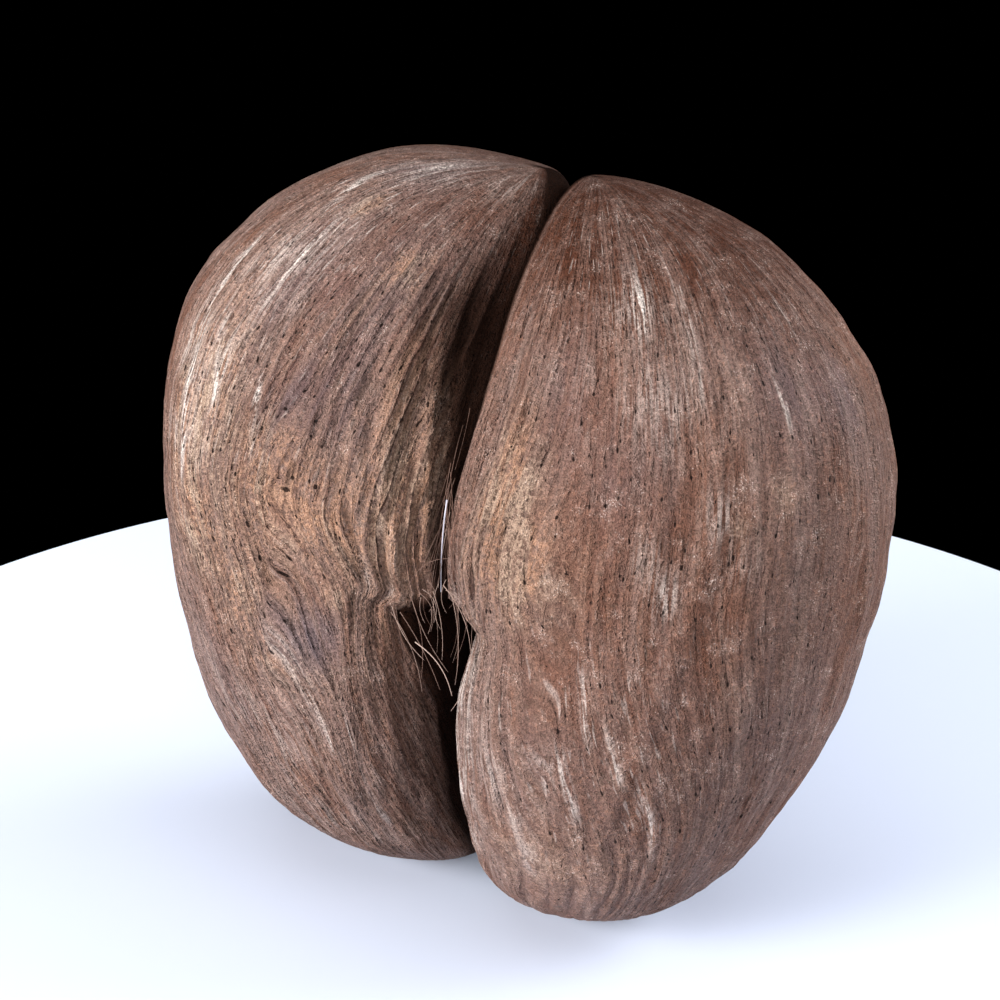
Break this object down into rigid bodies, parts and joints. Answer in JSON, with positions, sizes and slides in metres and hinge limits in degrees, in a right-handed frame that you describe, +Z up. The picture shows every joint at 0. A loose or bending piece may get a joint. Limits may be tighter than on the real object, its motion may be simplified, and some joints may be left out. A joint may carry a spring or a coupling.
{
  "type": "coco de mer nut",
  "caption": "Bare, dry double coconut shell: two rounded ribbed lobes grown together, with a deep cleft and a pit, standing upright on the flat tips of its lobes.",
  "frame": {"origin": "on the resting surface, under the middle of the nut's box", "axes": "+Z up, from the tips it stands on to the top of the lobes; -Y to the front, where the pit between the lobes opens; +X towards the right lobe, along its widest side"},
  "size_m": [0.302, 0.1653, 0.2845],
  "materials": {
    "woody_shell": "dry, dull brown woody shell with fine ribs, pits and pale worn streaks",
    "husk_fibre": "thin dry brown husk fibres left in the cleft and over the pit"
  },
  "bodies": {
    "root": {"nut": "woody_shell"}
  },
  "joints": []
}
